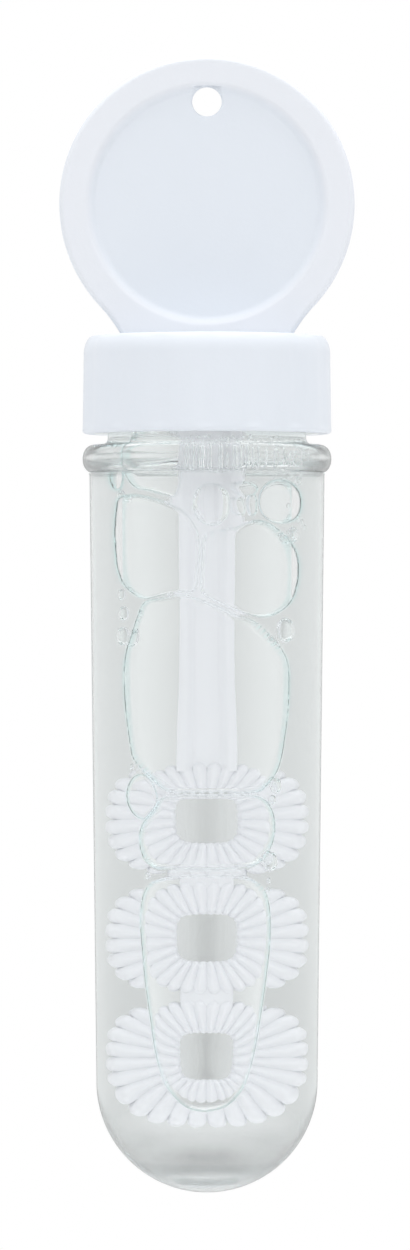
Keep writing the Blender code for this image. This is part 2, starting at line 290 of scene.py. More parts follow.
# %% Wires and recipes
class Wire:
    """A node's output that takes part in sums like a number."""

    def __init__(self, tree, socket):
        self.tree = tree
        self.socket = socket

    def math(self, operation, first, second):
        made = self.tree.nodes.new("ShaderNodeMath")
        made.operation = operation
        for place, term in zip(made.inputs, (first, second)):
            plug(self.tree, place, term)
        return Wire(self.tree, made.outputs[0])

    def __add__(self, other):
        return self.math("ADD", self, other)

    def __sub__(self, other):
        return self.math("SUBTRACT", self, other)

    def __rsub__(self, other):
        return self.math("SUBTRACT", other, self)

    def __mul__(self, other):
        return self.math("MULTIPLY", self, other)

    def __pow__(self, other):
        return self.math("POWER", self, other)

    def size(self):
        return self.math("ABSOLUTE", self, None)

    __radd__ = __add__
    __rmul__ = __mul__


def plug(tree, place, value):
    """Links a wire to a socket, or sets the socket's own value."""
    if isinstance(value, Wire):
        tree.links.new(value.socket, place)
    elif value is not None:
        place.default_value = value


class Recipe:
    """A node tree that is filled one node at a time."""

    def __init__(self, tree):
        self.tree = tree
        tree.nodes.clear()

    def node(self, kind, settings=None, sockets=None, out=0):
        made = self.tree.nodes.new("ShaderNode" + kind)
        for name, value in (settings or {}).items():
            setattr(made, name, value)
        for name, value in (sockets or {}).items():
            plug(self.tree, made.inputs[name], value)
        return Wire(self.tree, made.outputs[out]) if made.outputs else None

    def noise(self, scale, detail=2.0, stretch=(1, 1, 1)):
        """Noise on the piece's own coordinates, about 0 to 1, with cells about 1 / scale metres."""
        place = self.node("TexCoord", out="Object")
        fitted = self.node("Mapping", sockets={"Vector": place, "Scale": stretch})
        return self.node("TexNoise", sockets={"Vector": fitted, "Scale": scale, "Detail": detail})

    def along(self, letter, coordinates="Object"):
        """How far along X, Y or Z a point of the piece is, in metres, or a direction of the world."""
        place = self.node("TexCoord", out=coordinates)
        return self.node("SeparateXYZ", sockets={0: place}, out=letter)

    def ramp(self, value, start, end, first, last, soft=True):
        """A number that goes from first to last as the value goes from start to end, eased if soft."""
        settings = {"interpolation_type": "SMOOTHSTEP"} if soft else {}
        return self.node("MapRange", settings, {"Value": value, 1: start, 2: end, 3: first, 4: last})

    def mix(self, share, first, second):
        """A colour between two colours."""
        settings = {"data_type": "RGBA"}
        return self.node("Mix", settings, {0: share, 6: first, 7: second}, out=2)

    def end(self, shader):
        """The tree's output."""
        self.node("OutputMaterial", sockets={"Surface": shader})


def new_material(name):
    made = bpy.data.materials.new(name)
    made.use_nodes = True
    return made, Recipe(made.node_tree)


def rgba(r, g, b):
    return (r, g, b, 1.0)


# %% [markdown]
# White mouldings
#
# The cap is a polypropylene-like moulding, a cool white with a soft gloss. Up close such a part isn't one
# colour: it has faint clouds where the melt cooled unevenly, and a skin that's slightly uneven, which
# breaks up its gloss. What stands proud of the tag's recess is a lighter, warmer white. The cap's inside is
# painted near white, which is painted light, since little light reaches into it. The wand is the same stuff
# in a cleaner mould.
#
# One function makes all three whites, because they differ only in colour, gloss and skin. A mask is a ramp
# on the piece's own coordinates: one along Z finds what's above the deck, and one from the axis the inside.

# %% White plastic
def white_plastic(name, colour, shade, roughness, skin, proud_white=None, inside=None):
    """Cool white plastic with faint clouds of a second shade and a fine moulded skin.

    A lighter, warmer colour goes on what stands proud of the tag's recess, above the deck, and an inside
    colour on the inside of the cap, where it is painted light: near white, since little light reaches in
    there.
    """
    made, recipe = new_material(name)
    clouds = recipe.noise(90.0, 3.0)
    streaks = recipe.noise(160.0, 2.0, stretch=(1.0, 1.0, 0.25))
    base = recipe.mix(clouds * 0.7 + streaks * 0.3, rgba(*colour), rgba(*shade))
    # A lighter, warmer white on the tag's rim, which stands proud of its recess.
    if proud_white:
        up = recipe.along("Z")
        proud = recipe.ramp(recipe.along("Y").size(), 0.75 * MM, 1.15 * MM, 0.0, 1.0, soft=False)
        on_tag = recipe.ramp(up, deck_z * MM, (deck_z + 0.8) * MM, 0.0, 1.0, soft=False)
        base = recipe.mix(proud * on_tag, base, rgba(*proud_white))
    # Painted light: the cap's inside, below the deck, is painted near white, since little light reaches it.
    if inside:
        place = recipe.node("TexCoord", out="Object")
        flat = recipe.node("VectorMath", {"operation": "MULTIPLY"}, {0: place, 1: (1, 1, 0)})
        off_axis = recipe.node("VectorMath", {"operation": "LENGTH"}, {0: flat}, out="Value")
        bore = recipe.ramp(off_axis, (cap_bore_r + 0.1) * MM, (cap_bore_r + 0.4) * MM, 1.0, 0.0, soft=False)
        under = recipe.ramp(up, (deck_under_z + 0.2) * MM, (deck_under_z + 0.6) * MM, 1.0, 0.0, soft=False)
        base = recipe.mix(bore * under, base, rgba(*inside))
    grain = recipe.noise(2600.0, 2.0)
    bump = recipe.node("Bump", sockets={"Strength": skin, "Distance": 0.00004, "Height": grain})
    shader = recipe.node("BsdfPrincipled", sockets={
        "Base Color": base,
        "Roughness": clouds * 0.12 + roughness,
        "Normal": bump,
        "IOR": 1.49,
    })
    recipe.end(shader)
    return made


# The cap's inside colour is painted light; its proud tag rim is a lighter, warmer white.
cap_white = white_plastic(
    "cap_white", (0.720, 0.758, 0.813), (0.698, 0.739, 0.797), roughness=0.34, skin=0.25,
    proud_white=(0.745, 0.769, 0.815), inside=(0.93, 0.96, 0.965),
)
wand_white = white_plastic(
    "wand_white", (0.782, 0.792, 0.824), (0.756, 0.771, 0.808), roughness=0.30, skin=0.15,
)
liner_grey = white_plastic(
    "liner_grey", (0.74, 0.76, 0.78), (0.70, 0.72, 0.74), roughness=0.55, skin=0.5,
)
print("White finishes:", cap_white.name, wand_white.name, liner_grey.name)

# %% [markdown]
# Clear plastic and solution
#
# Glass in Cycles tints a ray at each surface that it crosses, not on its way between them. A volume that
# absorbs light would tint by depth, but takes longer to render. At a grazing angle the light runs a long
# way through the wall, and the cut edge of such plastic looks blue-green. Layer Weight gives that angle.
# The grazing tint is partly painted shade as well: it darkens the tube's outlines.
#
# A little haze goes with it. Light that's caught in the bead, going round and round, then finds its way
# out, as it does from the real one, whose bead isn't black. The base's tint is darkened with painted
# shade, most of all along the middle, for the tube's own shadow on the paper under its round end.
#
# The wand stands behind both. Lamps can't find their way through bent glass in a render of a few samples,
# so for their rays, and for soft light between white surfaces, the clear pieces are simply open.

# %% Clear finishes
def let_light_through(recipe, glass):
    """The glass, but open to rays from lamps and to diffuse bounces."""
    clear = recipe.node("BsdfTransparent")
    shadow = recipe.node("LightPath", out="Is Shadow Ray")
    diffuse = recipe.node("LightPath", out="Is Diffuse Ray")
    first = recipe.node("MixShader", sockets={0: shadow, 1: glass, 2: clear})
    second = recipe.node("MixShader", sockets={0: diffuse, 1: first, 2: clear})
    recipe.end(second)


HAZE_FREE = 0.980
WALL_INDEX = 1.57
SOLUTION_INDEX = 1.34


def clear_plastic():
    """Clear moulded plastic: almost no tint face on, blue-green where light runs along the wall, with
    painted shade on the outlines.

    Painted shade darkens the base, for the tube's own shadow on the paper. Its share is
    (base x inward + middle x below) x above: two soft patches that go by height and by distance from the
    middle.
    """
    made, recipe = new_material("tube_clear")
    facing_away = recipe.node("LayerWeight", sockets={"Blend": 0.5}, out="Facing")
    edge = facing_away ** 12.0
    waves = recipe.noise(120.0, 2.0, stretch=(1.0, 1.0, 0.15))
    face_on = recipe.mix(waves, rgba(0.966, 0.978, 0.978), rgba(0.958, 0.972, 0.973))
    up = recipe.along("Z")
    off_middle = recipe.along("X").size()
    inward = recipe.ramp(off_middle, 6.0 * MM, 9.5 * MM, 1.0, 0.0)
    middle = recipe.ramp(off_middle, 1.0 * MM, 5.0 * MM, 0.15, 0.0)
    base = recipe.ramp(up, -105.0 * MM, -102.4 * MM, 0.24, 0.0)
    below = recipe.ramp(up, -106.4 * MM, -104.6 * MM, 1.0, 0.0)
    above = recipe.ramp(up, -109.0 * MM, -105.8 * MM, 0.0, 1.0)
    # Painted shade: the tube's own shadow on the paper, darkening the base's tint towards black.
    painted_base_shade = (base * inward + middle * below) * above
    # The grazing tint: the plastic's own blue-green over a long path, and painted shade darkening the
    # outlines.
    wall = recipe.mix(edge * 0.6, face_on, rgba(0.55, 0.85, 0.87))
    tint = recipe.mix(painted_base_shade, wall, rgba(0.0, 0.0, 0.0))
    shader = recipe.node("BsdfPrincipled", sockets={
        "Base Color": tint,
        "Roughness": waves * 0.02,
        "IOR": WALL_INDEX,
        "Transmission Weight": HAZE_FREE,
    })
    let_light_through(recipe, shader)
    return made


def solution_finish():
    """Bubble solution, with a blue-green line of painted shade where its surface meets the wall or a film.
    """
    made, recipe = new_material("solution_clear")
    line = recipe.node("Attribute", {"attribute_name": "meniscus_shade_line"}, out="Fac")
    cloud = recipe.noise(70.0, 2.0)
    plain = recipe.mix(cloud, rgba(0.962, 0.978, 0.976), rgba(0.952, 0.970, 0.968))
    # Painted shade: the blue-green line where the solution's steep edge bends light away.
    tint = recipe.mix(line, plain, rgba(0.66, 0.92, 0.91))
    shader = recipe.node("BsdfPrincipled", sockets={
        "Base Color": tint,
        "Roughness": 0.0,
        "IOR": SOLUTION_INDEX,
        "Transmission Weight": 1.0,
    })
    let_light_through(recipe, shader)
    return made


tube_clear = clear_plastic()
solution_clear = solution_finish()
print("Clear finishes:", tube_clear.name, solution_clear.name)

# %% [markdown]
# The cap's shell
#
# The cap is a turned shape with sixteen faint flutes round its skirt, a deck, and a boss inside that
# grips the wand. A low screw ridge runs round its bore. A lathe-like profile suits it better than a scaled
# cylinder, since the deck's edge is a tall, soft corner, whose slow turn towards the light shows.

# %% Turn the cap
FLUTES = 16
FLUTE_DEPTH = 0.13
SCREW_RIDGE = 0.2
SOCKET_HALF_W = 3.1
SOCKET_HALF_D = 1.5
BOSS_WALL = 1.2
BOSS_DEEP = 4.0
CORNER_TALL = 1.9
HEM_ROUND = 0.45
boss_r = math.hypot(SOCKET_HALF_W, SOCKET_HALF_D) + BOSS_WALL
boss_z = deck_under_z - BOSS_DEEP


def cap_wave(r, z, angle):
    """Flutes outside, one of them at the front, and a screw ridge inside."""
    skirt = smooth(r, cap_r - 0.9, cap_r - 0.4) * smooth(z, hem_z + 0.2, hem_z + 0.9)
    hollow = FLUTE_DEPTH * (0.5 + 0.5 * np.cos(FLUTES * angle)) ** 2.5 * skirt
    in_bore = (np.abs(r - cap_bore_r) < 0.01) & (z < deck_under_z - 0.5)
    ridge = SCREW_RIDGE * thread(z, angle, hem_z + 1.4, 1.5) * in_bore
    return -hollow - ridge


cap_profile = np.vstack([
    run(0.5, deck_z, cap_r - 1.4, deck_z, 6),
    arc(cap_r - 1.1, 0, 1.0, 90, 0, 14) * [1, CORNER_TALL] + [0, deck_z - CORNER_TALL],
    run(cap_r - 0.1, deck_z - CORNER_TALL - 0.3, cap_r, hem_z + HEM_ROUND + 0.15, 12),
    arc(cap_r - HEM_ROUND, hem_z + HEM_ROUND, HEM_ROUND, 0, -90, 6),
    arc(cap_bore_r + 0.2, hem_z + 0.2, 0.2, 270, 180, 4),
    run(cap_bore_r, hem_z + 0.4, cap_bore_r, deck_under_z, 40),
    run(cap_bore_r - 0.3, deck_under_z, boss_r + 0.2, deck_under_z, 4),
    run(boss_r, deck_under_z - 0.2, boss_r, boss_z + 0.2, 3),
    run(boss_r - 0.2, boss_z, 0.5, boss_z, 4),
])
cap_grid = turned(cap_profile, FLUTES * 16, cap_wave)
cap_shell = facing(grid_shell(cap_grid, (0, 0, deck_z), (0, 0, boss_z)))
cap = mesh_object("screw_cap", [cap_shell])
print("Cap shell:", len(cap.data.vertices), "points")

# %% [markdown]
# The tag
#
# The tag is a flat disc that runs by a hollow arc on each side into a foot on the deck. It has a wide
# shallow recess in each face for a label, with a soft sloping edge, and a hole to hang it by. An extruded
# outline with a bevel would be quicker, but the recess needs circles and the rim needs the outline. So it's
# a polar grid round the disc's centre: circles as far as the recess goes, then rows that blend between.

# %% Shape the tag
TAG_HALF = 1.2
TAG_EDGE = 0.5
RECESS_R = 12.25
RECESS_SLOPE = 0.8
RECESS_DEPTH = 0.5
FOOT_HALF = 8.6
HOLLOW_R = 16.4


def tag_outline(angle):
    """The outline's distance from the disc's centre, for each angle.

    The hollow arc touches the disc from outside and ends at the foot's corner, so the triangle from the
    disc's centre to the corner and to the arc's own centre has three known sides.
    """
    drop = tag_centre_z - deck_z
    reach = math.hypot(FOOT_HALF, drop)
    apart = tag_r + HOLLOW_R
    opening = math.acos((apart ** 2 + reach ** 2 - HOLLOW_R ** 2) / (2 * apart * reach))
    touch = math.atan2(-drop, FOOT_HALF) + opening
    centre = apart * np.array([math.cos(touch), math.sin(touch)])
    end = math.atan2(-drop - centre[1], FOOT_HALF - centre[0])
    sweep = np.linspace(touch + np.pi, end, 40)
    hollow = centre + HOLLOW_R * np.column_stack([np.cos(sweep), np.sin(sweep)])
    below = np.column_stack([np.linspace(FOOT_HALF, 0, 30), np.full(30, -drop - 0.9)])
    chain = np.vstack([hollow, below])
    chain_angle = np.arctan2(chain[:, 1], chain[:, 0])
    folded = np.where(np.cos(angle) < 0, np.pi - angle, angle)
    folded = (folded + np.pi) % (2 * np.pi) - np.pi
    order = np.argsort(chain_angle)
    out = np.interp(folded, chain_angle[order], np.hypot(*chain[order].T))
    return np.where(folded > touch, tag_r, out)


tag_columns = 480
tag_angle = np.arange(tag_columns) * 2 * np.pi / tag_columns
tag_edge = tag_outline(tag_angle)
flat_rows = np.array([2.0, 4.0, 6.0, 8.0, 9.5, 10.6])
slope_rows = np.linspace(RECESS_R - RECESS_SLOPE - 0.35, RECESS_R + 0.35, 15)
shares = np.array([0.2, 0.45, 0.7, 0.9])
inner = np.concatenate([flat_rows, slope_rows])[:, None] * np.ones(tag_columns)
outer = slope_rows[-1] + (tag_edge - TAG_EDGE - slope_rows[-1]) * shares[:, None]
face_r = np.vstack([inner, outer])
sunk = 1 - smooth(face_r, RECESS_R - RECESS_SLOPE - 0.15, RECESS_R + 0.1)
face_y = TAG_HALF - RECESS_DEPTH * sunk
quarter = np.radians(np.linspace(0, 90, 8))[:, None]
edge_r = tag_edge - TAG_EDGE + TAG_EDGE * np.sin(quarter)
edge_y = TAG_HALF - TAG_EDGE + TAG_EDGE * np.cos(quarter) + 0 * edge_r
half_r = np.vstack([face_r, edge_r])
half_y = np.vstack([face_y, edge_y])
whole_r = np.vstack([half_r, half_r[::-1]])
whole_y = np.vstack([-half_y, half_y[::-1]])
tag_grid = np.stack([
    whole_r * np.cos(tag_angle),
    whole_y,
    tag_centre_z + whole_r * np.sin(tag_angle),
], axis=-1)
sunk_y = TAG_HALF - RECESS_DEPTH
tag_shell = facing(grid_shell(tag_grid, (0, -sunk_y, tag_centre_z), (0, sunk_y, tag_centre_z)))
combined(cap, mesh_object("tag", [tag_shell]), "UNION")
print("Cap with tag:", len(cap.data.vertices), "points")

# %% [markdown]
# The hanging hole and the socket
#
# The hole is moulded with rounded lips, which catch the light as a fine ring. A plain cylinder would cut it
# with hard edges, so the cutter is a spool whose ends flare. Under the deck a plain block cuts the socket
# that the wand is pressed into.

# %% Cut the hanging hole and the wand's socket
HOLE_R = 1.5
LIP = 0.25
rounding = arc(HOLE_R + LIP, sunk_y - LIP, LIP, 180, 90, 6)
flare = np.vstack([rounding, [[HOLE_R + 0.6, sunk_y + 0.35]]])
hole_profile = np.vstack([flare[::-1], flare * [1, -1]])
spool = turned(hole_profile, 96)[:, :, [0, 2, 1]]
spool_shell = facing(grid_shell(spool, (0, sunk_y + 0.35, 0), (0, -sunk_y - 0.35, 0)))
combined(cap, mesh_object("hole", [spool_shell]), "DIFFERENCE")
socket = block((-SOCKET_HALF_W, -SOCKET_HALF_D, boss_z - 0.3), (SOCKET_HALF_W, SOCKET_HALF_D, deck_under_z))
combined(cap, mesh_object("socket", [socket]), "DIFFERENCE")
edged(cap, 40)
finished(cap, cap_white, "cap", "cap")

# %% [markdown]
# The wand
#
# Each ring is a fan of twenty-eight ribs round a rounded hole: the grooves between them hold solution. A
# single rib could be modelled and turned about the hole, but the hole and the rim are rounded ovals, so the
# ribs change from place to place. One formula makes them all, as a sleeve round the hole. Its points are
# spaced evenly along both ovals, so that the ribs are alike.

# %% The wand's rings
RIBS = 28
RIB_COLUMNS = 14
RIB_CORE = 0.86
RIM_W = 4.45
RIM_H = 3.4
ring_half_w = wand_high[0]
ring_half_h = 5.75
ring_pitch = 12.0
wand_half = wand_high[1]
ring_z = wand_low[2] + ring_half_h + ring_pitch * np.arange(3)


def oval(half_w, half_h, power, share):
    """Points at even shares of the way round |x/a|^p + |z/b|^p = 1, anticlockwise from +x."""
    angle = np.linspace(0, 2 * np.pi, 6001)
    c, s = np.cos(angle), np.sin(angle)
    x = half_w * np.sign(c) * np.abs(c) ** (2 / power)
    z = half_h * np.sign(s) * np.abs(s) ** (2 / power)
    gone = np.concatenate([[0], np.cumsum(np.hypot(np.diff(x), np.diff(z)))])
    way = share * gone[-1]
    return np.interp(way, gone, x), np.interp(way, gone, z)


def ring_shell(centre_z):
    """One ribbed ring as a closed sleeve: out along the front, back along the rear.

    Across a rib its height is (1/2 - 1/2 cos(2 pi u))^0.6, full at its middle and nothing in the groove.
    Along it, the height rounds off as a quarter of an oval at the hole and rim. Its end is a half oval.
    """
    share = np.arange(RIBS * RIB_COLUMNS) / (RIBS * RIB_COLUMNS)
    u = share * RIBS % 1.0
    proud = (0.5 - 0.5 * np.cos(2 * np.pi * u)) ** 0.6
    out_x, out_z = oval(ring_half_w, ring_half_h, 3.0, share)
    in_x, in_z = oval(ring_half_w - RIM_W, ring_half_h - RIM_H, 4.0, share)
    length = np.hypot(out_x - in_x, out_z - in_z)
    back = 0.6 * (1 - np.sqrt(1 - (2 * u - 1) ** 2)) / length
    front = 0.12 * (1 - proud) / length
    v = np.array([0, 0.015, 0.05, 0.1, 0.16, 0.25, 0.4, 0.55, 0.7, 0.8, 0.88, 0.94, 0.98, 1.0])[:, None]
    near = np.sqrt(1 - (1 - np.clip(v / 0.14, 0, 1)) ** 2)
    far = np.sqrt(1 - np.clip((v - 0.82) / 0.18, 0, 1) ** 2)
    full = near * far
    at = front + v * (1 - back - front)
    x = in_x + (out_x - in_x) * at
    z = in_z + (out_z - in_z) * at + centre_z
    y = (RIB_CORE + (wand_half - RIB_CORE) * proud) * (0.25 + 0.75 * full)
    grid = np.stack([np.vstack([x, x[::-1]]), np.vstack([-y, y[::-1]]), np.vstack([z, z[::-1]])], axis=-1)
    return facing(grid_shell(grid))


print("Ring heights:", ring_z.round(2).tolist(), "mm")

# %% [markdown]
# The stem and the links
#
# The stem is an H section, thin in the middle with a thicker edge on each side, which keeps it stiff with
# little plastic. It widens a little just above the top ring. It could be a block with a groove cut in each
# face, but one outline carried straight up has the rounded corners as well. Two short bars link the rings.

# %% The wand's stem and links
def bar(outline, low, high, rows=2):
    """An outline of (x, y) points carried straight up from low to high, closed by flat ends."""
    heights = np.linspace(low, high, rows)
    count = len(outline)
    grid = np.concatenate([
        np.broadcast_to(outline, (rows, count, 2)),
        np.broadcast_to(heights[:, None, None], (rows, count, 1)),
    ], axis=-1)
    quads = grid_faces(rows, count)
    ends = np.stack([quads[0, ::-1, 0], quads[-1, :, 0]])
    return facing((grid.reshape(-1, 3), [quads[:-1].reshape(-1, 4), ends]))


def rounded(corners, radius, steps=4):
    """An outline with each corner replaced by a curve through points at radius along its two sides."""
    corners = np.array(corners, float)
    before, after = np.roll(corners, 1, axis=0), np.roll(corners, -1, axis=0)
    to_before = (before - corners) / np.linalg.norm(before - corners, axis=1)[:, None]
    to_after = (after - corners) / np.linalg.norm(after - corners, axis=1)[:, None]
    t = np.linspace(0, 1, steps + 1)[None, :, None]
    a, b = (corners + to_before * radius)[:, None], (corners + to_after * radius)[:, None]
    curve = (1 - t) ** 2 * a + 2 * t * (1 - t) * corners[:, None] + t ** 2 * b
    return curve.reshape(-1, 2)


STEM_HALF = 2.8
STEM_EDGE = 0.9
STEM_WEB = 0.65
STEM_FLARE = 0.13
FLARE_START = 57.0
FLARE_END = 67.0
LINK_HALF_W = 3.0
LINK_HALF_D = 0.8
quarter_h = [(STEM_HALF, wand_half), (STEM_HALF - STEM_EDGE, wand_half), (STEM_HALF - 1.6, STEM_WEB)]
half_h = quarter_h + [(-x, y) for x, y in reversed(quarter_h)]
stem_corners = half_h + [(-x, -y) for x, y in half_h]
stem = bar(rounded(stem_corners, 0.22), ring_z[-1] + ring_half_h - 0.9, wand_high[2], rows=40)
stem[0][:, 0] *= 1 + STEM_FLARE * smooth(-stem[0][:, 2], FLARE_START, FLARE_END)
wand = mesh_object("ribbed_wand", [stem])
link_half = [(LINK_HALF_W, LINK_HALF_D), (-LINK_HALF_W, LINK_HALF_D)]
link_outline = rounded(link_half + [(-x, -y) for x, y in link_half], 0.3)
for z in ring_z[::-1]:
    combined(wand, mesh_object("ring", [ring_shell(z)]), "UNION")
for z in ring_z[:-1]:
    link = bar(link_outline, z + ring_half_h - 1.0, z + ring_pitch - ring_half_h + 1.0)
    combined(wand, mesh_object("link", [link]), "UNION")
edged(wand, 50)
finished(wand, wand_white, "cap", "bubble_wand")

# %% [markdown]
# The seal ring
#
# A soft washer lies under the deck, and the tube's rim presses on it, so that nothing leaks. A torus would
# be too round, so it's a turned ring with four rounded corners.

# %% Turn the seal ring
seal_r = seal_high[0]
seal_in = bore_r - 0.5
SEAL_ROUND = 0.15
in_r, out_r = seal_in + SEAL_ROUND, seal_r - SEAL_ROUND
bottom, top = seal_low[2] + SEAL_ROUND, seal_high[2] - SEAL_ROUND
turns = [(in_r, bottom, 180), (out_r, bottom, 270), (out_r, top, 0), (in_r, top, 90)]
seal_profile = np.vstack([arc(r, z, SEAL_ROUND, start, start + 90, 4) for r, z, start in turns])
seal = mesh_object("liner", [facing(grid_shell(turned(seal_profile, 160)))])
finished(seal, liner_grey, "seal_ring", "seal_ring")

# %% [markdown]
# The tube
#
# The tube is thick, as the rings show: they look so wide only because wall and solution together are a
# strong lens. Its outside ends in a half ball, and its bore in a squarer one, so that the lowest ring looks
# taller than the others. A bead stands out under the neck, and a screw ridge climbs the neck under the cap.
# A thin surface with a Solidify modifier would give one even wall, and this wall isn't even, so the profile
# goes up the outside and down the inside.

# %% Turn the tube
BEAD_ROUND = (bead_top_z - bead_under_z) / 2
BEAD_REACH = 0.9 * BEAD_ROUND
END_POWER = 3.2
RIM_ROUND = 0.3


def neck_wave(r, z, angle):
    """The neck's screw ridge, on its outside only."""
    outside = (np.abs(r - neck_r) < 0.01) & (z > bead_top_z)
    return 0.8 * thread(z, angle, hem_z + 1.3, 1.45) * outside


def bore_end(reach, count):
    """Points (r, z) down the bore's end, evenly spaced: r^p + depth^p = reach^p, where p is END_POWER."""
    angle = np.linspace(0, np.pi / 2, 4001)
    r = reach * np.cos(angle) ** (2 / END_POWER)
    depth = reach * np.sin(angle) ** (2 / END_POWER)
    gone = np.concatenate([[0], np.cumsum(np.hypot(np.diff(r), np.diff(depth)))])
    way = np.linspace(0, gone[-1], count + 1)[:-1]
    return np.column_stack([np.interp(way, gone, r), round_z - np.interp(way, gone, depth)])


swell = np.radians(np.linspace(-84, 84, 25))
bead = np.column_stack([
    bead_r - BEAD_REACH + BEAD_REACH * np.cos(swell) ** 0.8,
    bead_top_z - BEAD_ROUND + BEAD_ROUND * np.sin(swell),
])
HOLLOW = 0.2
SHOULDER = 0.7
tube_profile = np.vstack([
    arc(0, round_z, body_r_low, -88, 0, 48),
    run(body_r_low, round_z + 0.2, body_r, bead_under_z - HOLLOW - 0.1, 40),
    arc(body_r + HOLLOW, bead_under_z - HOLLOW, HOLLOW, 180, 120, 5),
    bead,
    arc(neck_r + SHOULDER, bead_top_z + SHOULDER, SHOULDER, 262, 180, 10),
    run(neck_r, bead_top_z + SHOULDER + 0.05, neck_r, rim_z - 0.4, 44),
    arc(neck_r - RIM_ROUND, rim_z - RIM_ROUND, RIM_ROUND, 0, 90, 5),
    arc(bore_r + RIM_ROUND, rim_z - RIM_ROUND, RIM_ROUND, 90, 180, 5),
    run(bore_r, rim_z - 0.4, bore_r_low, round_z + 0.2, 32),
    bore_end(bore_r_low, 46),
])
tube_grid = turned(tube_profile, 224, neck_wave)
tube_tip = (0, 0, round_z - body_r_low)
bore_tip = (0, 0, round_z - bore_r_low)
tube_shell = facing(grid_shell(tube_grid, tube_tip, bore_tip))
tube = mesh_object("clear_tube", [tube_shell])
finished(tube, tube_clear, "tube", "tube")

# %% [markdown]
# What the wall does to the view
#
# The bubbles' outlines below are given as they're seen from the front: millimetres across from the axis,
# and height. A point on the bore at angle f from the front is seen further out than it is, because its
# ray bends at the tube's outside. For a ray that leaves at distance p from the axis, the sine of its angle
# to the wall is p / R outside, p / (n R) just inside and p / (n r) at the bore. So
#
# f = asin(p / R) - asin(p / (n R)) + asin(p / (n r)).
#
# The outlines could be moved about until they look right. The sum puts each where it belongs at once, and
# it holds from every side. A smooth closed curve joins an outline's few points: a Catmull-Rom spline, which
# between two points is a cubic that also looks at the point before and the point after.

# %% From what is seen to where it is
END_SQUEEZE = 0.70
LEAST_BORE = 8.0


def closed_curve(points, steps=5):
    """A Catmull-Rom curve: half of (2b + (c-a)t + (2a-5b+4c-d)t^2 + (3b-a-3c+d)t^3)."""
    a, b, c, d = (np.roll(points, k, axis=0)[:, None] for k in (1, 0, -1, -2))
    t = (np.arange(steps) / steps)[None, :, None]
    square = 2 * a - 5 * b + 4 * c - d
    cube = 3 * b - a - 3 * c + d
    return ((2 * b + (c - a) * t + square * t ** 2 + cube * t ** 3) / 2).reshape(-1, 2)


def bore_radius(z):
    """The bore's radius: a slow taper, then the squarer end."""
    share = np.clip((rim_z - 1 - z) / (rim_z - 1 - round_z), 0, 1)
    straight = bore_r + (bore_r_low - bore_r) * share
    depth = np.abs(np.minimum(z - round_z, 0))
    end = np.clip(bore_r_low ** END_POWER - depth ** END_POWER, 0, None) ** (1 / END_POWER)
    return np.where(z < round_z, end, straight)


def bore_angle(across, z):
    """The angle from the front of a bore point that is seen at this distance across.

    Near the tip the bore is narrower than what's seen through it, so a least radius keeps the sum real.
    """
    share = np.clip((bead_under_z - z) / (bead_under_z - round_z), 0, 1)
    outside = body_r + (body_r_low - body_r) * share
    inside = np.maximum(bore_radius(z), LEAST_BORE)
    return (np.arcsin(across / outside) - np.arcsin(across / (WALL_INDEX * outside))
            + np.arcsin(across / (WALL_INDEX * inside)))


def on_bore(seen):
    """Where seen points (across, height) lie on the bore, as (x, z).

    The round end magnifies height as well, so a depth below its centre is squeezed.
    """
    curve = closed_curve(np.array(seen))
    squeezed = round_z + END_SQUEEZE * (curve[:, 1] - round_z)
    z = np.where(curve[:, 1] < round_z, squeezed, curve[:, 1])
    return np.column_stack([bore_radius(z) * np.sin(bore_angle(curve[:, 0], z)), z])


print("Seen at 6 mm, at mid height:", round(math.degrees(bore_angle(6.0, -70.0)), 1), "degrees")

# %% [markdown]
# The air's cells
#
# The tube lies on its back, so its air lies along the front, cut into cells by films of solution. Each
# cell is an outline, drawn through a few points, and a level: how far in front of the axis the solution
# stands behind it, at the cell's top and bottom ends.
#
# Solution climbs a few millimetres up a wall, so the air as a whole has a wide, round edge, like a bowl
# seen from above. That edge bends light most: it shows the rings narrower than they are. A film between
# two cells has only a narrow foot. Each cell has the width of its own edge, and of the bowl's.
#
# Metaballs or a fluid simulation could give such shapes, but not these ones, so the outlines are drawn.

